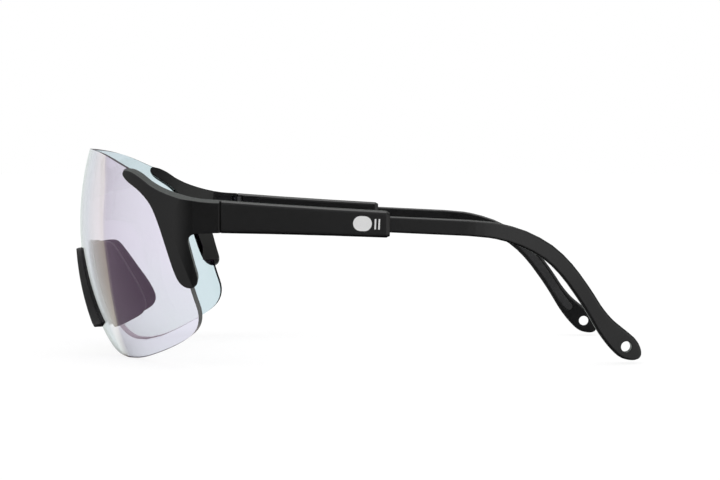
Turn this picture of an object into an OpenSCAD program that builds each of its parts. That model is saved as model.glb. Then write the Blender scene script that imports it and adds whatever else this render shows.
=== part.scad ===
// Sports shield sunglasses with folding, length-adjustable temples.
// +Z is up, -Y is the front, +X is the wearer's left. The origin is on the
// table under the middle of the glasses.

/* [Lens] */
// Radius of the spherical outer surface
lens_r = 84; // [80:0.5:90]
// Lens thickness
lens_t = 2; // [1.6:0.1:2.2]
// Height of the sphere's centre above the lowest edge
lens_mid = 40.4; // [38:0.2:43]
// Height of the lens at the middle of the brow
lens_h = 63.2; // [61:0.2:65]
// Half width of the lens
lens_half_w = 68.2; // [66:0.1:70]
// Height of the top of the nose notch
notch_top = 34.4; // [32:0.2:36]
// Half width of the nose notch at mid height
notch_half_w = 10.4; // [9:0.2:12]

/* [Nose piece] */
// Wall of the channel in front of and behind the lens
channel_t = 1.4; // [1:0.1:1.8]
// How far the channel laps over the lens
channel_lap = 2.4; // [1.8:0.1:3]
// Wall of the channel inside the notch
channel_floor = 1.1; // [0.8:0.1:1.5]
// Lowest point of the channel and of the pads
nose_low = 7.9; // [7:0.1:9]
// Top of the channel's wall in front of the lens
front_wall_top = 32.2; // [31:0.1:33]
// How much lower the middle of the front wall's sphere lies, which thickens the wall downwards
wall_flare = 3; // [0:0.2:4]
// Rounding of the wall's ends
wall_round = 0.8; // [0.4:0.1:1.2]
// Top of the channel's wall behind the lens
rear_wall_top = 34.1; // [33.6:0.1:34.4]
// Thickness of the soft pads
pad_t = 2.2; // [1.8:0.1:2.8]
// Radius of the pads' bend
pad_bend_r = 46; // [42:1:60]
// Lean of the pads towards each other
pad_lean = 13; // [10:0.5:16]
// How far back the pads reach from the front of the lens
pad_reach = 21.7; // [20:0.1:24]

/* [Endpieces] */
// Height of the lip in front of the lens
lip_out = 1.5; // [1.2:0.1:1.8]
// Height of the lip behind the lens
lip_in = 1.3; // [1:0.1:1.6]
// Reach of the brow arm in front of the lens's rear edge
brow_l = 17.2; // [15:0.2:19]
// Rise of the brow arm above the side
brow_rise = 8.8; // [7.6:0.2:9.4]
// Slope of the brow's upper face
brow_slope = 11; // [8:1:14]
// Reach of the cheek lug below the middle of the hinge
lug_l = 20.5; // [18:0.5:23]
// Reach of the cheek lug behind the lens's rear edge
lug_back = 5.4; // [4.6:0.1:5.8]
// How much shorter the lip behind the lens is at the brow
brow_step = 1.5; // [1:0.1:2.4]
// Angle by which the lip behind the lens falls towards the tip of the brow
brow_tuck = 2.4; // [0:0.2:4]
// How much shorter the lip behind the lens is at the cheek
lug_step = 2.4; // [1.6:0.1:3]
// Radius that turns the brow into the straight side
side_turn_r = 15; // [12:0.5:18]
// How far the sides stand outside the lens's rear edges
side_out = 2.4; // [2:0.1:2.8]
// Thickness at the hinge
side_t = 4.4; // [4:0.1:4.8]
// Height at the hinge
side_h = 9.4; // [9:0.1:9.8]

/* [Hinges] */
// Distance of both hinge axes behind the lens's rear edges
hinge_back = 11.7; // [11:0.1:13]
// Height of the hinges' middle above the lens sphere's centre
hinge_up = 3.1; // [2.4:0.1:3.8]
// Radius of the knuckles
knuckle_r = 1.8; // [1.6:0.05:2]
// Height of each outer knuckle
knuckle_h = 2.2; // [1.8:0.1:2.4]
// Height of the middle knuckle
middle_h = 2.7; // [2.4:0.1:3]
// Thickness of the leaves
leaf_t = 1.1; // [0.9:0.1:1.3]
// Length of each leaf from the axis
leaf_l = 7.5; // [6.5:0.1:7.6]
// Radius of the screw's shank
screw_r = 0.7; // [0.5:0.05:0.8]
// Radius of the screw's head
head_r = 1.25; // [1.1:0.05:1.4]
// Height of the screw's head
head_h = 0.7; // [0.5:0.1:0.8]

/* [Temples] */
// Length of the sleeve from the hinge axis
sleeve_l = 48.5; // [46:0.5:52]
// Height of the sleeve at its open end
sleeve_end_h = 7.7; // [7.2:0.1:8.2]
// Thickness of the sleeve at its open end
sleeve_end_t = 4.2; // [4:0.1:4.4]
// Inward turn of the temples seen from above
toe_in = 2.6; // [2:0.1:3.2]
// Fall of the temples seen from the side
fall = 2.7; // [2.2:0.1:3.2]
// Travel of the sliding arm
travel = 8; // [6:0.5:10]

/* [Arms] */
// Height of the sliding bar
bar_h = 4.65; // [4.2:0.05:5]
// Thickness of the sliding bar and the arm
bar_t = 2.5; // [2.2:0.05:2.6]
// Length of the bar inside the sleeve
bar_in = 24; // [20:0.5:26]
// Straight bar between the sleeve and the bend
bar_out = 22.6; // [18:0.2:26]
// Length of the bent arm up to the cord hole
arm_l = 47.6; // [44:0.2:52]
// Drop of the bent arm up to the cord hole
arm_drop = 32.9; // [28:0.2:36]
// Width of the bent arm
arm_w = 4.75; // [4.3:0.05:5.3]
// Inward sweep of the bent arm up to the cord hole
sweep = 8.7; // [7:0.1:10.5]
// Width of the paddle at the tip
paddle_w = 7.2; // [7:0.1:8.2]
// Radius of the cord hole
cord_r = 1.6; // [1.2:0.1:1.8]
// Width of the grip strip
grip_w = 2.5; // [2:0.1:3]
// Thickness of the grip strip
grip_t = 0.8; // [0.6:0.05:1]
// How far the grip strip stands proud
grip_proud = 0.25; // [0.1:0.05:0.4]
// Distance between the cord hole and the end of the grip strip
grip_end = 4.8; // [3.6:0.2:8]
// Radius of the stop pin
pin_r = 0.75; // [0.6:0.05:0.9]

/* [Fits] */
// Clearance round a fixed, pressed or glued piece
fixed_gap = 0.03; // [0.02:0.01:0.05]
// Clearance round the screw in the middle knuckle
running_gap = 0.05; // [0.03:0.01:0.08]
// Clearance round the sliding bar
slide_gap = 0.12; // [0.08:0.01:0.2]
// Gap between the faces of the folding joint
fold_gap = 0.3; // [0.2:0.02:0.4]
// Room round the turning knuckles
turn_gap = 0.15; // [0.1:0.01:0.2]

/* [Hidden] */
$fn = 96;

nylon = [0.13, 0.13, 0.14];
soft = [0.24, 0.21, 0.24];
steel = [0.62, 0.63, 0.65];
tint = [0.80, 0.80, 0.90, 0.5];

rim_y = -sqrt(lens_r * lens_r - lens_half_w * lens_half_w);
hinge_x = lens_half_w + side_out - side_t;
hinge_y = rim_y + hinge_back;
hinge_z = lens_mid + hinge_up;
side_top = hinge_z + side_h / 2;
side_low = hinge_z - side_h / 2;
barrel_h = middle_h + 2 * knuckle_h;
leaf_h = barrel_h - 0.6;
turn_r = knuckle_r + turn_gap;
wrap_r = lens_r + lip_out;
lip_inner_r = lens_r - lens_t - lip_in;
channel_inner_r = lens_r - lens_t - channel_t;
bar_x = side_t / 2;
bar_r = bar_t * 0.28;
bend_y = sleeve_l + bar_out;
pin_y = sleeve_l - bar_in / 2 - travel / 2;
pin_l = (side_t + bar_t) / 2 + 0.5;

// A smooth curve through a few points, with n steps between neighbours.
function blend(a, b, c, d, t) = 0.5 * (2 * b + (c - a) * t
    + (2 * a - 5 * b + 4 * c - d) * t * t + (3 * b - a - 3 * c + d) * t * t * t);
function curve(p, n) = let (m = len(p) - 1) concat(
    [for (i = [0 : m - 1], j = [0 : n - 1])
        blend(p[max(i - 1, 0)], p[i], p[i + 1], p[min(i + 2, m)], j / n)],
    [p[m]]);
function reversed(p) = [for (i = [len(p) - 1 : -1 : 0]) p[i]];
function flipped(p) = [for (q = p) [-q.x, q.y]];
// The same curve moved sideways by d.
function shifted(p, d) = let (m = len(p) - 1)
    [for (i = [0 : m]) let (t = p[min(i + 1, m)] - p[max(i - 1, 0)])
        p[i] + d * [t.y, -t.x] / norm(t)];
function unit(v) = v / norm(v);

// Edge of the lens seen from the front, left half, from the notch outwards.
function placed(p, w, h) = [for (q = p) [q.x * w, q.y * h]];
lobe_points = placed([[0.455, 0], [0.594, 0.011], [0.733, 0.047], [0.855, 0.098],
    [0.939, 0.158], [0.984, 0.237], [0.997, 0.34], [1, 0.443], [1, 0.57], [0.994, 0.665],
    [0.953, 0.75], [0.877, 0.823], [0.789, 0.87]], lens_half_w, lens_h);
notch_edge = curve(concat(placed([[0, 1], [0.44, 0.975], [0.77, 0.884], [0.91, 0.727],
    [1.05, 0.494], [1.17, 0.331], [1.385, 0.203], [1.75, 0.093], [2.25, 0.026]],
    notch_half_w, notch_top), [lobe_points[0]]), 4);
lobe_edge = curve(lobe_points, 4);
brow_edge = curve(placed([[0.752, 0.897], [0.645, 0.934], [0.528, 0.965], [0.396, 0.986],
    [0.205, 0.9976], [0, 1]], lens_half_w, lens_h), 4);
half_edge = concat(notch_edge, [for (i = [1 : len(lobe_edge) - 1]) lobe_edge[i]], brow_edge);

// A cone from the middle of the lens sphere through an edge given on its surface.
module from_centre(edge) {
    n = len(edge);
    rays = [for (q = edge) let (v = q - [0, lens_mid])
        [v.x, -sqrt(lens_r * lens_r - v * v), v.y]];
    translate([0, 0, lens_mid])
        polyhedron(points = concat([[0, 0, 0]], [for (v = rays) v * (-3 * lens_r / v.y)]),
            faces = concat([[for (i = [n : -1 : 1]) i]], [for (i = [1 : n]) [0, i, i % n + 1]]));
}

module shell(outer, inner) {
    translate([0, 0, lens_mid])
        difference() {
            sphere(r = outer, $fn = 180);
            sphere(r = inner, $fn = 180);
        }
}

// The lens, or with a gap the groove that holds it.
module lens_body(gap) {
    edge = shifted(half_edge, gap);
    intersection() {
        shell(lens_r + gap, lens_r - lens_t - gap);
        from_centre(concat(edge, reversed(flipped([for (i = [1 : len(edge) - 2]) edge[i]]))));
    }
}

module shield_lens() {
    color(tint)
        lens_body(0);
}

// How far forward the front wall's outer face is at height z, x beside the middle.
function wall_y(z, x) = -sqrt(pow(lens_r + channel_t, 2) - pow(z - lens_mid + wall_flare, 2) - x * x);

// Everything in front of a wall that ends at height z with a round corner; up is 1 or -1.
module past_corner(y, z, up) {
    r = wall_round;
    corner = [for (a = [0 : 15 : 90]) [y + r * (1 - cos(a)), z - up * r * (1 - sin(a))]];
    translate([-lens_r / 2, 0, 0])
        rotate([90, 0, 90])
            linear_extrude(lens_r)
                polygon(concat([[y - 2 * r, corner[0].y]], corner,
                    [[y + 9 * r, z], [y + 9 * r, z + up * 9], [y - 2 * r, z + up * 9]]));
}

// Channel that grips the edge of the notch and carries both pads.
module nose_bridge() {
    side = [for (q = notch_edge) if (q.y > nose_low) q];
    arch = concat(reversed(flipped([for (i = [1 : len(side) - 1]) side[i]])), side);
    color(soft)
        difference() {
            intersection() {
                translate([0, 0, lens_mid])
                    difference() {
                        // the front wall gets thicker downwards
                        translate([0, 0, -wall_flare])
                            sphere(r = lens_r + channel_t, $fn = 180);
                        sphere(r = channel_inner_r, $fn = 180);
                    }
                from_centre(concat(shifted(arch, -channel_lap), reversed(shifted(arch, channel_floor))));
            }
            lens_body(fixed_gap);
            // the walls have rounded ends
            difference() {
                past_corner(wall_y(front_wall_top, notch_half_w * 0.66), front_wall_top, 1);
                translate([0, 0, lens_mid])
                    sphere(r = lens_r, $fn = 180);
            }
            past_corner(wall_y(nose_low, notch_half_w * 1.3), nose_low + 0.1, -1);
            intersection() {
                translate([-lens_r / 2, -lens_r, rear_wall_top])
                    cube([lens_r, lens_r / 4, notch_top / 2]);
                translate([0, 0, lens_mid])
                    sphere(r = lens_r - lens_t, $fn = 180);
            }
        }
}

// Outline of a pad seen from the side.
pad_back = -lens_r + pad_reach;
pad_h = notch_top - nose_low;
pad_edge = curve([[-lens_r - 3, notch_top - 1.5],
    for (q = [[0.2, 0.977], [0.387, 0.996], [0.498, 0.966], [0.645, 0.804], [0.76, 0.66],
        [0.871, 0.524], [0.959, 0.392], [1, 0.275], [0.954, 0.177], [0.811, 0.102],
        [0.645, 0.034], [0.46, 0]]) [-lens_r + q.x * pad_reach, nose_low + q.y * pad_h],
    [-lens_r - 3, nose_low + 0.2]], 3);

module nose_pad_left() {
    color(soft)
        intersection() {
            translate([notch_half_w * 0.2, 0, 0])
                rotate([90, 0, 90])
                    linear_extrude(notch_half_w * 2.3)
                        polygon(pad_edge);
            translate([notch_half_w + 0.9 + pad_bend_r, -lens_r - 1.2, nose_low + pad_h * 0.457])
                rotate([0, -pad_lean, 0])
                    difference() {
                        cylinder(r = pad_bend_r + pad_t / 2, h = pad_h * 3, center = true);
                        cylinder(r = pad_bend_r - pad_t / 2, h = pad_h * 4, center = true);
                    }
            translate([0, 0, lens_mid])
                sphere(r = channel_inner_r - fixed_gap, $fn = 180);
        }
}

module nose_pad_right() {
    mirror([1, 0, 0])
        nose_pad_left();
}

// Outline of the brow arm, the cheek lug and the stub seen from the side.
stub_y = hinge_y - fold_gap / 2;
brow_points = [for (q = [[0.34, 0.43], [0.67, 0.795], [0.863, 0.95], [0.994, 0.955]])
    [rim_y - q.x * brow_l, side_top + q.y * brow_rise]];
under_points = [for (q = [[1.018, 0.91], [1.027, 0.83], [1.003, 0.73], [0.927, 0.58],
    [0.695, 0.239], [0.509, -0.182]]) [rim_y - q.x * brow_l, side_top + q.y * brow_rise]];
lug_front = [for (q = [[0.369, 0.107], [0.23, 0.449], [0.108, 0.751], [0.003, 0.927]])
    [rim_y - q.x * brow_l, hinge_z - q.y * lug_l]];
lug_rear = [for (q = [[0.45, 1], [0.87, 0.971], [1, 0.873], [0.835, 0.712], [0.65, 0.532],
    [0.486, 0.356]]) [rim_y + q.x * lug_back, hinge_z - q.y * lug_l]];
top_edge = curve(concat([[stub_y, side_top], [rim_y + 0.506 * hinge_back, side_top + 0.045 * brow_rise],
    [rim_y + 0.013 * hinge_back, side_top + 0.182 * brow_rise]], brow_points), 4);
low_edge = curve(concat(under_points, lug_front, lug_rear, [[rim_y + 0.64 * lug_back, side_low - 0.7],
    [rim_y + 1.1 * lug_back, side_low - 0.15], [stub_y, side_low]]), 4);

// Distance from the middle plane to a sphere round the lens's centre, at a point of the outline.
function reach_x(q, r) = min(hinge_x + side_t, sqrt(max(0, r * r - q.x * q.x
    - (q.y - lens_mid) * (q.y - lens_mid))));
// The slope starts at the tip of the brow and is complete halfway along it.
function slope_start(q) = min(1, (q.x - top_edge[len(top_edge) - 1].x) / (brow_l * 0.47));
function sloped_point(q, x) = [q.x, q.y * cos(brow_slope) + x * sin(brow_slope)];
upper_points = [for (q = top_edge) sloped_point(q, min(hinge_x,
    reach_x(q, wrap_r - slope_start(q) * (wrap_r - lip_inner_r))))];
lower_points = [for (q = low_edge) sloped_point(q, reach_x(q, wrap_r))];

// An outline seen from the side, carried across the lens along the slope of the brow.
module sloped(points) {
    rotate([0, brow_slope, 0])
        translate([lens_r / 4, 0, 0])
            rotate([90, 0, 90])
                linear_extrude(lens_r * 0.8)
                    polygon(points);
}

// Straight block behind the lens that ends at the hinge.
module stub() {
    block_y = rim_y - 0.4;
    upper = [for (q = top_edge) if (q.x > block_y) q];
    intersection() {
        translate([hinge_x, 0, 0])
            rotate([90, 0, 90])
                linear_extrude(side_t)
                    polygon(concat(upper, [[block_y, side_low + 1.7], [rim_y + 1.6, side_low + 0.1],
                        [rim_y + 0.93 * lug_back, side_low - 0.15], [stub_y, side_low]]));
        sloped(concat(upper_points, [[rim_y - brow_l, 0], [stub_y + 1, 0], [stub_y + 1, upper_points[0].y]]));
        translate([0, 0, lens_mid])
            sphere(r = wrap_r, $fn = 180);
    }
}

// Room round the knuckles, open underneath for the screw.
module hinge_room() {
    translate([hinge_x, hinge_y, hinge_z - side_h])
        cylinder(r = turn_r, h = side_h + barrel_h / 2 + turn_gap);
}

module endpiece_left() {
    turn_x = hinge_x + side_t - side_turn_r;
    turn_y = -sqrt(pow(wrap_r - side_turn_r, 2) - turn_x * turn_x);
    reach = side_turn_r / (wrap_r - side_turn_r);
    color(nylon)
        difference() {
            union() {
                intersection() {
                    sloped(concat(upper_points, lower_points));
                    shell(wrap_r, lip_inner_r);
                }
                stub();
            }
            lens_body(fixed_gap);
            translate([hinge_x + side_t, -lens_r, 0])
                cube([lens_r, lens_r, 2 * lens_mid]);
            // the brow turns smoothly into the straight side
            difference() {
                translate([turn_x * (1 + reach), turn_y * (1 + reach), 0])
                    cube([lens_r, -turn_y * reach, 2 * lens_mid]);
                translate([turn_x, turn_y, -1])
                    cylinder(r = side_turn_r + 0.12, h = 2 * lens_mid + 2, $fn = 180);
            }
            // the inner lip is shorter than the outer one
            intersection() {
                translate([0, 0, lens_mid])
                    sphere(r = lens_r - lens_t / 2, $fn = 180);
                union() {
                    difference() {
                        translate([0, -lens_r, 0])
                            cube([lens_r, lens_r + rim_y, lens_h]);
                        translate([0, rim_y + brow_step, side_top])
                            rotate([brow_tuck, 0, 0])
                                translate([0, -rim_y, -side_top])
                                    sloped(concat(upper_points, lower_points));
                    }
                    translate([lens_half_w / 2, -lens_r, hinge_z - lug_l - 1])
                        cube([lens_half_w, lens_r, lug_step + 1]);
                }
            }
            hinge_room();
            translate([hinge_x - 1, hinge_y - leaf_l - fixed_gap, hinge_z - leaf_h / 2 - fixed_gap])
                cube([leaf_t + 1 + fixed_gap, leaf_l, leaf_h + 2 * fixed_gap]);
        }
}

module endpiece_right() {
    mirror([1, 0, 0])
        endpiece_left();
}

// Fixed leaf with the two outer knuckles.
module hinge_leaf_front_left() {
    color(steel)
        translate([hinge_x, hinge_y, hinge_z])
            difference() {
                union() {
                    translate([0, -leaf_l, -leaf_h / 2])
                        cube([leaf_t, leaf_l, leaf_h]);
                    translate([0, 0, -barrel_h / 2])
                        cylinder(r = knuckle_r, h = barrel_h);
                }
                translate([0, 0, -middle_h / 2 - running_gap])
                    cylinder(r = turn_r, h = middle_h + 2 * running_gap);
                translate([0, 0, -barrel_h])
                    cylinder(r = screw_r + fixed_gap, h = 2 * barrel_h);
            }
}

module hinge_leaf_front_right() {
    mirror([1, 0, 0])
        hinge_leaf_front_left();
}

// Screw from below, with a slot in its head.
module hinge_screw_left() {
    color(steel)
        translate([hinge_x, hinge_y, hinge_z - barrel_h / 2])
            difference() {
                union() {
                    translate([0, 0, -0.1])
                        cylinder(r = screw_r, h = barrel_h);
                    translate([0, 0, -head_h])
                        cylinder(r = head_r, h = head_h);
                }
                translate([-2, -0.2, -head_h - 0.1])
                    cube([4, 0.4, 0.1 + head_h / 2]);
            }
}

module hinge_screw_right() {
    mirror([1, 0, 0])
        hinge_screw_left();
}

// Places what belongs to the left temple: y runs along it from the hinge axis.
module on_temple() {
    translate([hinge_x, hinge_y, 0])
        rotate([0, 0, toe_in])
            children();
}

module hinge_leaf_rear_left() {
    color(steel)
        on_temple()
            translate([0, 0, hinge_z])
                difference() {
                    union() {
                        translate([0, 0, -leaf_h / 2])
                            cube([leaf_t, leaf_l, leaf_h]);
                        translate([0, 0, -middle_h / 2])
                            cylinder(r = knuckle_r, h = middle_h);
                    }
                    for (s = [-1, 1])
                        translate([0, 0, s * (middle_h / 2 + 5)])
                            cylinder(r = turn_r, h = 10, center = true);
                    translate([0, 0, -barrel_h])
                        cylinder(r = screw_r + running_gap, h = 2 * barrel_h);
                }
}

module hinge_leaf_rear_right() {
    mirror([1, 0, 0])
        hinge_leaf_rear_left();
}

// Rounded rectangle of width w and height h, as points.
function round_box(w, h, r) = [for (c = [[1, 1, 0], [-1, 1, 90], [-1, -1, 180], [1, -1, 270]],
    a = [0, 30, 60, 90])
    [c[0] * (w / 2 - r) + r * cos(c[2] + a), c[1] * (h / 2 - r) + r * sin(c[2] + a)]];

// A skin through a row of equal rings, closed at both ends.
module loft(rings) {
    n = len(rings[0]);
    m = len(rings) - 1;
    polyhedron(points = [for (r = rings, p = r) p],
        faces = concat([[for (i = [n - 1 : -1 : 0]) i]], [[for (i = [0 : n - 1]) m * n + i]],
            [for (k = [0 : m - 1], i = [0 : n - 1]) let (a = k * n + i, b = k * n + (i + 1) % n)
                each [[a, b, b + n], [a, b + n, a + n]]]));
}

function centre_z(y) = hinge_z - 0.05 - tan(fall) * y;

// Sleeve seen from the side: [distance from the hinge, height, thickness, corner radius].
function between(a, b, t) = a + (b - a) * t;
sleeve_rows = [for (q = [[0, 0], [0.3, 0.44], [0.65, 0.8], [0.98, 1]])
    [between(fold_gap / 2, sleeve_l, q[0]), between(side_h, sleeve_end_h, q[1]),
        between(side_t, sleeve_end_t, q[1]), side_t / 4],
    [sleeve_l, sleeve_end_h * 0.87, sleeve_end_t * 0.81, side_t / 6]];

// Straight hole or bar along the slide, from y0 to y1 on the slide's own line.
module along_slide(y0, y1) {
    translate([bar_x, 0, centre_z(0)])
        rotate([-fall, 0, 0])
            translate([0, y1, 0])
                rotate([90, 0, 0])
                    linear_extrude(y1 - y0)
                        children();
}

module temple_left() {
    color(nylon)
        on_temple()
            difference() {
                loft([for (s = sleeve_rows)
                    [for (p = round_box(s[2], s[1], s[3])) [bar_x + p.x, s[0], centre_z(s[0]) + p.y]]]);
                along_slide(sleeve_l - bar_in - travel - 1.5, sleeve_l + 5)
                    polygon(round_box(bar_t + 2 * slide_gap, bar_h + 2 * slide_gap, bar_r + slide_gap));
                translate([0, 0, hinge_z - side_h])
                    cylinder(r = turn_r, h = side_h + barrel_h / 2 + turn_gap);
                translate([-1, 0, hinge_z - leaf_h / 2 - fixed_gap])
                    cube([leaf_t + 1 + fixed_gap, leaf_l + fixed_gap, leaf_h + 2 * fixed_gap]);
                translate([-1, pin_y, centre_z(pin_y)])
                    rotate([0, 90, 0])
                        cylinder(r = pin_r + fixed_gap, h = pin_l + 1 + fixed_gap);
            }
}

module temple_right() {
    mirror([1, 0, 0])
        temple_left();
}

// Pin through the sleeve that stops the bar at both ends of its slot.
module stop_pin_left() {
    color(steel)
        on_temple()
            translate([0.1, pin_y, centre_z(pin_y)])
                rotate([0, 90, 0])
                    cylinder(r = pin_r, h = pin_l - 0.1);
}

module stop_pin_right() {
    mirror([1, 0, 0])
        stop_pin_left();
}

// Middle line of the bent arm from the side, in shares of its length and drop up to the cord hole,
// with its width: 0 like the bar, 1 like the arm, 2 like the paddle.
arm_path = [[0, 0, 0], [0.1, 0.006, 0.4], [0.185, 0.017, 0.8], [0.342, 0.072, 1], [0.499, 0.182, 1],
    [0.616, 0.329, 1], [0.7, 0.478, 1], [0.757, 0.592, 0.97], [0.798, 0.681, 1], [0.837, 0.761, 1.17],
    [0.875, 0.831, 1.43], [0.916, 0.892, 1.72], [0.957, 0.947, 1.94], [1, 1, 2]];
// The rounded end behind the hole, with its width in shares of the paddle's.
tip_path = [[1.031, 1.031, 0.89], [1.058, 1.058, 0.68], [1.077, 1.076, 0.44], [1.087, 1.085, 0.2]];
arm_rows = curve(concat([for (q = arm_path) [bend_y + q[0] * arm_l, -q[1] * arm_drop,
    q[2] < 1 ? between(bar_h, arm_w, q[2]) : between(arm_w, paddle_w, q[2] - 1)]],
    [for (q = tip_path) [bend_y + q[0] * arm_l, -q[1] * arm_drop, q[2] * paddle_w]]), 2);

// Share of the inward sweep: it ends nearly straight.
function swept(t) = t < 0 ? 0 : t > 1 ? 1 + 0.3 * (t - 1) : t * t * (2.7 - 1.7 * t);
function arm_point(q) = [bar_x - sweep * swept((q[0] - bend_y) / arm_l), q[0],
    centre_z(q[0]) + q[1]];
arm_line = concat([[sleeve_l - bar_in, 0, bar_h]], arm_rows);

function arm_dir(rows, i) = unit(arm_point(rows[min(i + 1, len(rows) - 1)])
    - arm_point(rows[max(i - 1, 0)]));
function across(d) = unit([1, 0, 0] - d.x * d);

// Rings square to the arm's line: t thick, w wide, moved by off towards the head.
function arm_ring(rows, i, t, w, r, off) = let (
    d = arm_dir(rows, i),
    side = across(d),
    up = cross(side, d))
    [for (c = round_box(t, w, min(r, w * 0.45, t * 0.45)))
        arm_point(rows[i]) + (c.x - off) * side + c.y * up];

module arm_loft(rows, t, r, off) {
    loft([for (i = [0 : len(rows) - 1]) arm_ring(rows, i, t, rows[i][2], r, off)]);
}

// The same rows, wider and longer by g on every side.
function onward(a, b, g) = let (d = unit([b.x - a.x, b.y - a.y])) [g * d.x, g * d.y, 0];
function grown(rows, g) = let (n = len(rows) - 1) [for (i = [0 : n])
    rows[i] + [0, 0, 2 * g] + (i == 0 ? onward(rows[1], rows[0], g)
        : i == n ? onward(rows[n - 1], rows[n], g) : [0, 0, 0])];

// Middle line of the grip strip, with rounded ends.
grip_run = [for (q = arm_rows)
    if (q[0] > bend_y + arm_l * 0.27 && q[0] < bend_y + arm_l
        && norm([q[0] - bend_y - arm_l, q[1] + arm_drop]) > grip_end + grip_w / 2)
        [q[0], q[1], grip_w]];
grip_n = len(grip_run) - 1;
function round_end(a, b, angles) = [for (v = angles)
    b + onward(a, b, grip_w / 2 * sin(v)) + [0, 0, grip_w * (cos(v) - 1)]];
grip_rows = concat(round_end(grip_run[1], grip_run[0], [75, 50, 25]), grip_run,
    round_end(grip_run[grip_n - 1], grip_run[grip_n], [25, 50, 75]));
// The cord hole, square to the paddle.
cord_row = 2 * len(arm_path) - 1;
cord_at = arm_line[cord_row];
cord_dir = across(arm_dir(arm_line, cord_row));

module temple_tip_left() {
    color(nylon)
        on_temple()
            difference() {
                arm_loft(arm_line, bar_t, bar_r, 0);
                arm_loft(grown(grip_rows, fixed_gap), grip_t + 2 * fixed_gap, 0.2,
                    bar_t / 2 - grip_t / 2 + grip_proud);
                // slot for the stop pin
                along_slide(pin_y - pin_r - 0.1, pin_y + travel + pin_r + 0.1)
                    square([bar_t + 2, 2 * pin_r + 0.2], center = true);
                translate(arm_point(cord_at))
                    rotate([0, acos(cord_dir.z), atan2(cord_dir.y, cord_dir.x)])
                        cylinder(r = cord_r, h = 12, center = true);
            }
}

module temple_tip_right() {
    mirror([1, 0, 0])
        temple_tip_left();
}

module grip_strip_left() {
    color(soft)
        on_temple()
            arm_loft(grip_rows, grip_t, 0.2, bar_t / 2 - grip_t / 2 + grip_proud);
}

module grip_strip_right() {
    mirror([1, 0, 0])
        grip_strip_left();
}

shield_lens();
nose_bridge();
nose_pad_left();
nose_pad_right();
endpiece_left();
endpiece_right();
hinge_leaf_front_left();
hinge_leaf_front_right();
hinge_screw_left();
hinge_screw_right();
hinge_leaf_rear_left();
hinge_leaf_rear_right();
temple_left();
temple_right();
stop_pin_left();
stop_pin_right();
temple_tip_left();
temple_tip_right();
grip_strip_left();
grip_strip_right();
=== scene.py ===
import math

import bpy
from mathutils import Matrix, Vector
from mathutils.bvhtree import BVHTree


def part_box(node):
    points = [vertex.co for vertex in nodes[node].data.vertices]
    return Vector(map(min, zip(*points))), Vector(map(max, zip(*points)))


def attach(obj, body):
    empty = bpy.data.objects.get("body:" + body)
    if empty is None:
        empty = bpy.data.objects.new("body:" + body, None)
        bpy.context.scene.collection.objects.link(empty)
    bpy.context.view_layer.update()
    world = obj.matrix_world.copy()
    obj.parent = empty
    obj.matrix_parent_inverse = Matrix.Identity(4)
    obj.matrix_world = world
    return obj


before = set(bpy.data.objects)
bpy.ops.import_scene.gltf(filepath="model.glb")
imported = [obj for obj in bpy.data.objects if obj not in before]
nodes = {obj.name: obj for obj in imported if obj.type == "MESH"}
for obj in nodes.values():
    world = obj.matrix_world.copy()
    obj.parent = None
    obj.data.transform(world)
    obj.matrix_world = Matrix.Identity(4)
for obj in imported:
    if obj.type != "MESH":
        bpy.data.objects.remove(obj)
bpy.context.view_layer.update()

scene = bpy.context.scene

# All sizes are in metres. The lens is a sheet of a sphere, with its middle over the origin
LENS_MIDDLE = Vector((0, 0, 0.0404))
LENS_RADIUS = 0.084
LENS_THICKNESS = 0.002
# How the temples lean, in degrees: inwards to the rear, and down to the rear
TOE_IN = 2.6
FALL = 2.7
# How far the edges of plastic and rubber look rounded
EDGE_RADIUS = 0.0004
# Size of the voxels and number of smoothing steps that round the nose pads
PAD_VOXEL = 0.00022
PAD_SMOOTHING = 8


# Helpers for node trees

def new_material(name):
    """A material, its node tree and its Principled shader, already linked to the output."""
    material = bpy.data.materials.new(name)
    material.use_nodes = True
    tree = material.node_tree
    tree.nodes.clear()
    output = tree.nodes.new("ShaderNodeOutputMaterial")
    surface = tree.nodes.new("ShaderNodeBsdfPrincipled")
    tree.links.new(surface.outputs["BSDF"], output.inputs["Surface"])
    return material, tree, surface


def node(tree, kind, values=None, **settings):
    """A new node with these settings, and with values on its inputs."""
    made = tree.nodes.new(kind)
    for key, value in settings.items():
        setattr(made, key, value)
    for key, value in (values or {}).items():
        made.inputs[key].default_value = value
    return made


def feed(tree, socket, value):
    """Gives a socket a plain number or colour, or links an output to it."""
    if isinstance(value, (int, float)):
        socket.default_value = value
    elif isinstance(value, tuple):
        socket.default_value = (*value, 1)
    else:
        tree.links.new(value, socket)


def position(tree, stretch=(1, 1, 1)):
    """The place on the piece, stretched along each axis."""
    coordinates = node(tree, "ShaderNodeTexCoord")
    stretched = node(tree, "ShaderNodeVectorMath", {1: stretch}, operation="MULTIPLY")
    tree.links.new(coordinates.outputs["Object"], stretched.inputs[0])
    return stretched.outputs[0]


def split(tree, place):
    """The x, y and z of a place or direction."""
    separate = node(tree, "ShaderNodeSeparateXYZ")
    tree.links.new(place, separate.inputs[0])
    return separate.outputs


def noise(tree, place, scale, detail, roughness=0.5):
    pattern = node(tree, "ShaderNodeTexNoise", {"Scale": scale, "Detail": detail, "Roughness": roughness})
    tree.links.new(place, pattern.inputs["Vector"])
    return pattern.outputs["Fac"]


def mapped(tree, value, low, high, start=0.3, end=0.7, kind="LINEAR"):
    """The value moved from the range start to end into the range low to high, and held at both ends."""
    limits = {"From Min": start, "From Max": end, "To Min": low, "To Max": high}
    moved = node(tree, "ShaderNodeMapRange", limits, interpolation_type=kind)
    tree.links.new(value, moved.inputs["Value"])
    return moved.outputs["Result"]


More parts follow.
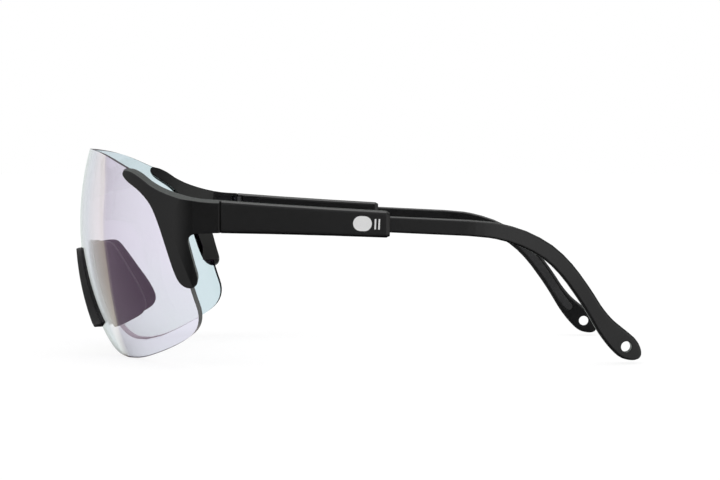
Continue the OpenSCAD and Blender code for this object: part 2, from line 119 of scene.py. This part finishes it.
def maths(tree, operation, *values):
    """The result of one operation on outputs and plain numbers."""
    made = node(tree, "ShaderNodeMath", operation=operation)
    for socket, value in zip(made.inputs, values):
        feed(tree, socket, value)
    return made.outputs[0]


def mixed_colour(tree, share, first, second):
    """The first colour where the share is 0, the second where it is 1."""
    mix = node(tree, "ShaderNodeMix", data_type="RGBA")
    # the node has other sockets for numbers and vectors between these
    feed(tree, mix.inputs[0], share)
    feed(tree, mix.inputs[6], first)
    feed(tree, mix.inputs[7], second)
    return mix.outputs[2]


def either_shader(tree, share, first, second):
    """The first shader where the share is 0, the second where it is 1."""
    mix = node(tree, "ShaderNodeMixShader")
    tree.links.new(share, mix.inputs[0])
    tree.links.new(first.outputs[0], mix.inputs[1])
    tree.links.new(second.outputs[0], mix.inputs[2])
    return mix


def show(tree, shader):
    """Puts a shader on the material's output."""
    output = next(made for made in tree.nodes if made.type == "OUTPUT_MATERIAL")
    tree.links.new(shader.outputs[0], output.inputs["Surface"])


# Materials

def moulded(name, dark, pale, rough, grain, depth):
    """Moulded plastic or rubber: fine eroded grain, a slow drift of shade, polish that varies a little."""
    material, tree, surface = new_material(name)
    place = position(tree)
    fine = noise(tree, place, grain, 3.0, 0.6)
    slow = noise(tree, place, 90.0, 3.0)
    shade = maths(tree, "MULTIPLY_ADD", fine, 0.35, mapped(tree, slow, 0.0, 0.65))
    feed(tree, surface.inputs["Base Color"], mixed_colour(tree, shade, dark, pale))
    feed(tree, surface.inputs["Roughness"], mapped(tree, fine, *rough))
    bump = node(tree, "ShaderNodeBump", {"Strength": 0.55, "Distance": depth})
    rounded = node(tree, "ShaderNodeBevel", {"Radius": EDGE_RADIUS}, samples=8)
    tree.links.new(rounded.outputs[0], bump.inputs["Normal"])
    tree.links.new(fine, bump.inputs["Height"])
    tree.links.new(bump.outputs["Normal"], surface.inputs["Normal"])
    return material


def blackened_steel(name):
    """Steel under a thin black coat, with brushing that still shows through."""
    material, tree, surface = new_material(name)
    streaks = noise(tree, position(tree, (1, 1, 0.06)), 9000.0, 4.0, 0.7)
    feed(tree, surface.inputs["Base Color"],
         mixed_colour(tree, streaks, (0.030, 0.030, 0.032), (0.075, 0.076, 0.080)))
    feed(tree, surface.inputs["Roughness"], mapped(tree, streaks, 0.28, 0.46))
    surface.inputs["Metallic"].default_value = 1.0
    bump = node(tree, "ShaderNodeBump", {"Strength": 0.3, "Distance": 0.000004})
    tree.links.new(streaks, bump.inputs["Height"])
    tree.links.new(bump.outputs["Normal"], surface.inputs["Normal"])
    return material


def ink(name):
    """White print, a little speckled."""
    material, tree, surface = new_material(name)
    speck = noise(tree, position(tree), 5200.0, 3.0)
    feed(tree, surface.inputs["Base Color"],
         mixed_colour(tree, speck, (0.74, 0.74, 0.74), (0.86, 0.86, 0.86)))
    feed(tree, surface.inputs["Roughness"], mapped(tree, speck, 0.38, 0.52))
    return material


def lens_face(name, low, high, coat):
    """One face of the clear sheet. Its tint drifts from low to high and is taken where light enters."""
    material, tree, surface = new_material(name)
    place = position(tree)
    height = maths(tree, "MULTIPLY_ADD", noise(tree, place, 22.0, 2.0), 0.016, split(tree, place)["Z"])
    tint = mixed_colour(tree, mapped(tree, height, 0.0, 1.0, 0.010, 0.045), low, high)
    # painted light: a second sheet in line is left untinted, standing in for the light the mirror coat adds,
    # so two sheets in line show hardly more tint than one
    path = node(tree, "ShaderNodeLightPath").outputs
    painted_light_second_sheet = mapped(tree, path["Transmission Depth"], 0.0, 1.0, 1.0, 2.0)
    leaving = node(tree, "ShaderNodeNewGeometry").outputs["Backfacing"]
    untinted = maths(tree, "MAXIMUM", painted_light_second_sheet, leaving)
    feed(tree, surface.inputs["Base Color"], mixed_colour(tree, untinted, tint, (1, 1, 1)))
    surface.inputs["Roughness"].default_value = 0.0
    surface.inputs["Transmission Weight"].default_value = 1.0
    surface.inputs["IOR"].default_value = 1.5
    surface.inputs["Specular Tint"].default_value = (1.0, 0.35, 1.0, 1)
    if coat > 0:
        # the mirror coat shows on the first sheet in line
        feed(tree, surface.inputs["Coat Weight"],
             mapped(tree, path["Transmission Depth"], coat, 0.0, 1.0, 2.0))
        surface.inputs["Coat IOR"].default_value = 2.0
        surface.inputs["Coat Roughness"].default_value = 0.0
    # lamps shine through it
    through = node(tree, "ShaderNodeBsdfTransparent", {"Color": (0.80, 0.79, 0.83, 1)})
    show(tree, either_shader(tree, path["Is Shadow Ray"], surface, through))
    return material


def lens_edge(name):
    """The sheet's cut edge: ground and dull, palest along the bottom in painted light from below, darker
    towards the top, and in painted shade where it is seen from within.
    """
    material, tree, surface = new_material(name)
    ground = noise(tree, position(tree), 2600.0, 3.0)
    height = split(tree, position(tree))["Z"]
    # painted light: the edge is paled along the bottom, where the floor would light it from below
    painted_light_below = mapped(tree, height, 1.0, 0.0, 0.005, 0.013)
    at_top = mapped(tree, height, 0.0, 1.0, 0.036, 0.050)
    # painted shade: the edge is darkened where it is seen from within the sheet
    within = node(tree, "ShaderNodeNewGeometry").outputs["Backfacing"]
    colour = mixed_colour(tree, ground, (0.130, 0.132, 0.130), (0.185, 0.188, 0.185))
    colour = mixed_colour(tree, painted_light_below, colour, (0.88, 0.76, 0.78))
    colour = mixed_colour(tree, at_top, colour, (0.065, 0.055, 0.065))
    colour = mixed_colour(tree, within, colour, (0.020, 0.018, 0.020))
    feed(tree, surface.inputs["Base Color"], colour)
    feed(tree, surface.inputs["Roughness"], mapped(tree, ground, 0.45, 0.65))
    surface.inputs["Specular IOR Level"].default_value = 0.1
    return material


nylon = moulded("nylon", (0.002, 0.002, 0.0022), (0.005, 0.005, 0.0053), (0.30, 0.42), 7000.0, 0.00003)
rubber = moulded("rubber", (0.005, 0.004, 0.005), (0.011, 0.009, 0.011), (0.55, 0.72), 5200.0, 0.00003)
channel = moulded("channel", (0.019, 0.019, 0.019), (0.031, 0.031, 0.031), (0.50, 0.66), 5200.0, 0.00003)
grip = moulded("grip", (0.016, 0.016, 0.017), (0.026, 0.026, 0.027), (0.66, 0.84), 4200.0, 0.00005)
steel = blackened_steel("steel")
white_ink = ink("white_ink")
lens_outside = lens_face("lens_outside", (0.685, 0.70, 0.88), (0.76, 0.625, 0.94), 0.6)
lens_inside = lens_face("lens_inside", (0.51, 0.66, 0.81), (0.53, 0.67, 0.81), 0.0)
lens_rim = lens_edge("lens_edge")


# The pieces that come from the frame

# How the names start, and the material; the other nodes are nylon
MATERIALS = {
    "shield_lens": lens_outside,
    "nose_bridge": channel,
    "nose_pad": rubber,
    "grip_strip": grip,
    "hinge": steel,
    "stop_pin": steel,
}


def material_for(name):
    for start, material in MATERIALS.items():
        if name.startswith(start):
            return material
    return nylon


def soften(piece):
    """Rounds every edge of a soft piece."""
    remesh = piece.modifiers.new("remesh", "REMESH")
    remesh.mode = "VOXEL"
    remesh.voxel_size = PAD_VOXEL
    remesh.use_smooth_shade = True
    smooth = piece.modifiers.new("smooth", "SMOOTH")
    smooth.factor = 0.5
    smooth.iterations = PAD_SMOOTHING


for name, piece in nodes.items():
    piece.data.materials.clear()
    piece.data.materials.append(material_for(name))
    for polygon in piece.data.polygons:
        polygon.use_smooth = True
    piece.data.set_sharp_from_angle(angle=math.radians(32))
    if name.startswith("nose_pad"):
        soften(piece)

# The lens has its outer face in slot 0, its inner face in slot 1 and its cut edge in slot 2
sheet = nodes["shield_lens"].data
sheet.materials.append(lens_inside)
sheet.materials.append(lens_rim)
tolerance = LENS_THICKNESS / 10
for polygon in sheet.polygons:
    away = [(sheet.vertices[i].co - LENS_MIDDLE).length for i in polygon.vertices]
    if min(away) > LENS_RADIUS - tolerance:
        polygon.material_index = 0
    elif max(away) < LENS_RADIUS - LENS_THICKNESS + tolerance:
        polygon.material_index = 1
    else:
        polygon.material_index = 2


# The pieces that are made here

def mesh_object(name, points, faces, material):
    mesh = bpy.data.meshes.new(name)
    mesh.from_pydata(points, [], faces)
    mesh.update()
    mesh.materials.append(material)
    made = bpy.data.objects.new(name, mesh)
    scene.collection.objects.link(made)
    return made


# Printed mark on each sleeve: a plain rounded bar and two short strokes.
# Where the bar's middle is
MARK_Y = 0.0034
MARK_Z = 0.04145
BAR_LENGTH = 0.0054
BAR_HEIGHT = 0.0043
STROKE_WIDTH = 0.00044
STROKE_HEIGHT = 0.0030
# The strokes' distances from the bar's middle
STROKES = (0.0037, 0.0048)
INK_THICKNESS = 0.00004


def bar(length, height, steps=16):
    """The outline of a bar with round ends, along the sleeve and up."""
    radius = height / 2
    run = (length - height) / 2
    angles = [math.pi * (i / steps - 0.5) for i in range(steps + 1)]
    rear = [(run + radius * math.cos(angle), radius * math.sin(angle)) for angle in angles]
    return rear + [(-along, -up) for along, up in rear]


def stroke(middle, width, height):
    """The outline of an upright stroke, along the sleeve and up."""
    front = middle - width / 2
    rear = middle + width / 2
    top = height / 2
    return [(front, -top), (rear, -top), (rear, top), (front, top)]


def mark(name, side, outlines):
    """Thin ink on the outer face of a sleeve, which slopes down to the rear."""
    sleeve = nodes["temple_" + side].data
    surface = BVHTree.FromPolygons([vertex.co for vertex in sleeve.vertices],
                                   [polygon.vertices for polygon in sleeve.polygons])
    sign = 1 if side == "left" else -1
    well_outside = sign * 0.1
    cosine = math.cos(math.radians(FALL))
    sine = math.sin(math.radians(FALL))
    points = []
    faces = []
    for outline in outlines:
        ring = list(range(len(points), len(points) + len(outline)))
        faces.append(ring if sign > 0 else ring[::-1])
        for along, up in outline:
            y = MARK_Y + along * cosine + up * sine
            z = MARK_Z + up * cosine - along * sine
            hit = surface.ray_cast(Vector((well_outside, y, z)), Vector((-sign, 0, 0)))[0]
            points.append(hit + Vector((sign * INK_THICKNESS / 2, 0, 0)))
    print_on_sleeve = mesh_object(name, points, faces, white_ink)
    thick = print_on_sleeve.modifiers.new("thick", "SOLIDIFY")
    thick.thickness = INK_THICKNESS
    thick.offset = 1.0
    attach(print_on_sleeve, side + "_temple")


for side in ("left", "right"):
    outlines = [bar(BAR_LENGTH, BAR_HEIGHT)]
    outlines += [stroke(middle, STROKE_WIDTH, STROKE_HEIGHT) for middle in STROKES]
    mark("mark_" + side, side, outlines)


# Stop face between each endpiece and its sleeve: a thin raised pad that closes the view through the seam.
# It starts this deep in the endpiece. Its rear reaches 0.055 mm into the sleeve's front end
STOP_SEAT = 0.00004
# Its outer side, from the sleeve's outer side, and its top, from the sleeve's top
STOP_SET_BACK = 0.0007
STOP_BELOW_TOP = 0.0001
STOP_WIDTH = 0.0016
STOP_HEIGHT = 0.0092
STOP_CORNER = 0.0003


def rounded_rectangle(right, top, width, height, radius):
    """The outline of a rectangle with round corners, from its right and top sides."""
    left_middle, right_middle = right - width + radius, right - radius
    low_middle, top_middle = top - height + radius, top - radius
    corners = ((right_middle, top_middle, 0), (left_middle, top_middle, 90),
               (left_middle, low_middle, 180), (right_middle, low_middle, 270))
    outline = []
    for x, z, start in corners:
        for degrees in range(start, start + 91, 15):
            angle = math.radians(degrees)
            outline.append((x + radius * math.cos(angle), z + radius * math.sin(angle)))
    return outline


def stop_face(name, side):
    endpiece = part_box("endpiece_" + side)
    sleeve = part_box("temple_" + side)
    sign = 1 if side == "left" else -1
    inner, outer = sorted(abs(corner[0]) for corner in sleeve)
    front = endpiece[1][1] - STOP_SEAT
    # the rear's place at the inner side of the sleeve's box; outwards it leans as the sleeve's front end does
    rear = sleeve[0][1] - STOP_SEAT
    lean = math.tan(math.radians(TOE_IN))
    outline = rounded_rectangle(outer - STOP_SET_BACK, sleeve[1][2] - STOP_BELOW_TOP,
                                STOP_WIDTH, STOP_HEIGHT, STOP_CORNER)
    points = [(sign * x, front, z) for x, z in outline]
    points += [(sign * x, rear + lean * (x - inner), z) for x, z in outline]
    count = len(outline)
    faces = [tuple(range(count)), tuple(range(2 * count - 1, count - 1, -1))]
    faces += [(i, i + count, (i + 1) % count + count, (i + 1) % count) for i in range(count)]
    if sign < 0:
        faces = [face[::-1] for face in faces]
    pad = mesh_object(name, points, faces, nylon)
    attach(pad, "front")


for side in ("left", "right"):
    stop_face("stop_face_" + side, side)


# Stage

def seen_directly(tree):
    """1 for what the camera, a mirror or a clear sheet shows, 0 for light."""
    path = node(tree, "ShaderNodeLightPath").outputs
    mirror = maths(tree, "MAXIMUM", path["Is Camera Ray"], path["Is Glossy Ray"])
    return maths(tree, "MAXIMUM", mirror, path["Is Transmission Ray"])


def reflected(tree):
    """1 after any reflection: a clear sheet mirrors with both of its faces."""
    path = node(tree, "ShaderNodeLightPath").outputs
    return maths(tree, "GREATER_THAN", path["Glossy Depth"], 0.5)


def floor_material():
    """Lit as a pale floor, it takes the shadow and looks white where it is seen."""
    material, tree, surface = new_material("floor")
    surface.inputs["Base Color"].default_value = (0.80, 0.80, 0.80, 1)
    surface.inputs["Roughness"].default_value = 0.9
    surface.inputs["Specular IOR Level"].default_value = 0.0
    shaded = node(tree, "ShaderNodeBsdfDiffuse", {"Color": (0.25, 0.25, 0.25, 1)})
    white = node(tree, "ShaderNodeEmission", {"Color": (1, 1, 1, 1), "Strength": 0.77})
    added = node(tree, "ShaderNodeAddShader")
    tree.links.new(shaded.outputs[0], added.inputs[0])
    tree.links.new(white.outputs[0], added.inputs[1])
    shown = either_shader(tree, seen_directly(tree), surface, added)
    # reflections see the world's own pattern in its place
    absent = node(tree, "ShaderNodeBsdfTransparent")
    show(tree, either_shader(tree, reflected(tree), shown, absent))
    return material


# The floor's half size, and how far it lies under the origin
FLOOR_REACH = 8.0
FLOOR_DEPTH = 0.00002
floor_corners = [(x * FLOOR_REACH, y * FLOOR_REACH, -FLOOR_DEPTH)
                 for x, y in ((-1, -1), (1, -1), (1, 1), (-1, 1))]
floor = mesh_object("floor", floor_corners, [(0, 1, 2, 3)], floor_material())

# World: white to the eye; mirrors show a pale backdrop behind the object and the room elsewhere
world = bpy.data.worlds.new("studio")
scene.world = world
world.use_nodes = True
tree = world.node_tree
tree.nodes.clear()
path = node(tree, "ShaderNodeLightPath").outputs
x, y, z = split(tree, node(tree, "ShaderNodeTexCoord").outputs["Generated"])


def plus(first, second):
    return maths(tree, "ADD", first, second)


def times(first, second):
    return maths(tree, "MULTIPLY", first, second)


def ramp(value, low, high, start, end):
    return mapped(tree, value, low, high, start, end)


def soft_ramp(value, low, high, start, end):
    return mapped(tree, value, low, high, start, end, "SMOOTHSTEP")


def power(value, exponent, factor, most):
    """Rises from 0 with a power of the value, up to the most it may be."""
    raised = maths(tree, "POWER", maths(tree, "MAXIMUM", value, 0.0), exponent)
    return maths(tree, "MINIMUM", times(raised, factor), most)


# the backdrop's outline in the lens: upright, drawn in above and below
drawn_in = plus(power(z, 4.0, 200.0, 0.2), power(times(z, -1.0), 3.0, 8.3, 0.4))
inset = plus(drawn_in, ramp(z, 0.0, 0.055, -0.26, -0.08))
behind = maths(tree, "SUBTRACT", plus(times(x, -0.83), times(y, 0.557)), inset)
low_end = ramp(z, 0.0, 1.0, -0.35, -0.28)
high_end = soft_ramp(z, 1.0, 0.5, 0.20, 0.38)
rear_end = ramp(y, 1.0, 0.3, -0.1, 0.9)
backdrop = times(ramp(behind, 0.0, 1.0, -0.012, 0.012), times(rear_end, times(low_end, high_end)))
backdrop_colour = mixed_colour(tree, ramp(behind, 0.0, 1.0, 0.0, 0.35),
                               (0.96, 0.93, 0.72), (0.79, 0.85, 0.82))

# the room: a wall in front, lamps above and at the front left, a wall at the rear
front_wall = soft_ramp(times(y, -1.0), 0.0, 0.37, 0.25, 0.85)
above = plus(soft_ramp(z, 0.0, 1.1, 0.50, 0.80), soft_ramp(z, 0.0, 3.0, 0.86, 0.98))
lamp = soft_ramp(maths(tree, "SUBTRACT", times(x, 0.5), times(y, 0.86)), 0.0, 0.35, 0.85, 0.99)
rear_wall = times(plus(soft_ramp(y, 0.0, 0.75, 0.10, 0.20), soft_ramp(y, 0.0, 0.48, 0.2, 0.4)),
                  soft_ramp(x, 0.0, 1.0, 0.3, 0.8))
# a low light at the rear, which shows in the inner faces of the far side
low_light = times(soft_ramp(y, 0.0, 1.3, 0.80, 0.95),
                  times(ramp(z, 1.0, 0.0, -0.05, 0.12), ramp(x, 0.0, 1.0, -0.05, 0.10)))
room = front_wall
for part in (above, lamp, rear_wall, low_light):
    room = plus(room, part)
# the lens is tinted in what it mirrors, the plastic is not
room_tint = mixed_colour(tree, path["Is Singular Ray"], (0.97, 0.97, 0.97), (0.96, 0.80, 0.94))
room_colour = node(tree, "ShaderNodeVectorMath", operation="MULTIPLY")
tree.links.new(room, room_colour.inputs[0])
tree.links.new(room_tint, room_colour.inputs[1])
mirrored = mixed_colour(tree, backdrop, room_colour.outputs[0], backdrop_colour)

# 1 to the eye, and the lower level that lights the object
level = mapped(tree, path["Diffuse Depth"], 1.0, 0.40, 0.0, 1.0)
background = node(tree, "ShaderNodeBackground", {"Strength": 1.0})
feed(tree, background.inputs["Color"], mixed_colour(tree, reflected(tree), level, mirrored))
output = node(tree, "ShaderNodeOutputWorld")
tree.links.new(background.outputs[0], output.inputs["Surface"])


def soft_light(name, direction, strength, angle):
    """A wide, even light from one side. The world's own pattern stands for it in reflections."""
    light = bpy.data.lights.new(name, "SUN")
    light.energy = strength
    light.angle = math.radians(angle)
    lamp_object = bpy.data.objects.new(name, light)
    scene.collection.objects.link(lamp_object)
    lamp_object.rotation_euler = Vector(direction).to_track_quat("Z", "Y").to_euler()
    lamp_object.visible_glossy = False
    lamp_object.visible_transmission = False


soft_light("overhead", (-0.15, -0.05, 1.1), 1.5, 70)
soft_light("key", (0.9, -0.9, 0.8), 0.7, 50)
soft_light("rear", (0.5, 1.1, 0.7), 0.35, 50)

# Camera at the photograph's place
SENSOR_WIDTH = 36.0
PICTURE_WIDTH = 720
FOCAL_PIXELS = 2313.15
EYE = Vector((0.7309, -0.0085, 0.0600))
LOOKS_ALONG = Vector((-1.0, 0.0169, -0.0351))
camera = bpy.data.cameras.new("camera")
camera.sensor_fit = "HORIZONTAL"
camera.sensor_width = SENSOR_WIDTH
camera.lens = SENSOR_WIDTH * FOCAL_PIXELS / PICTURE_WIDTH
camera.clip_start = 0.01
camera_object = bpy.data.objects.new("camera", camera)
scene.collection.objects.link(camera_object)
back = -LOOKS_ALONG.normalized()
right = Vector((0, 0, 1)).cross(back).normalized()
up = back.cross(right)
camera_object.matrix_world = Matrix.Translation(EYE) @ Matrix((right, up, back)).transposed().to_4x4()
scene.camera = camera_object
scene.view_settings.view_transform = "Standard"
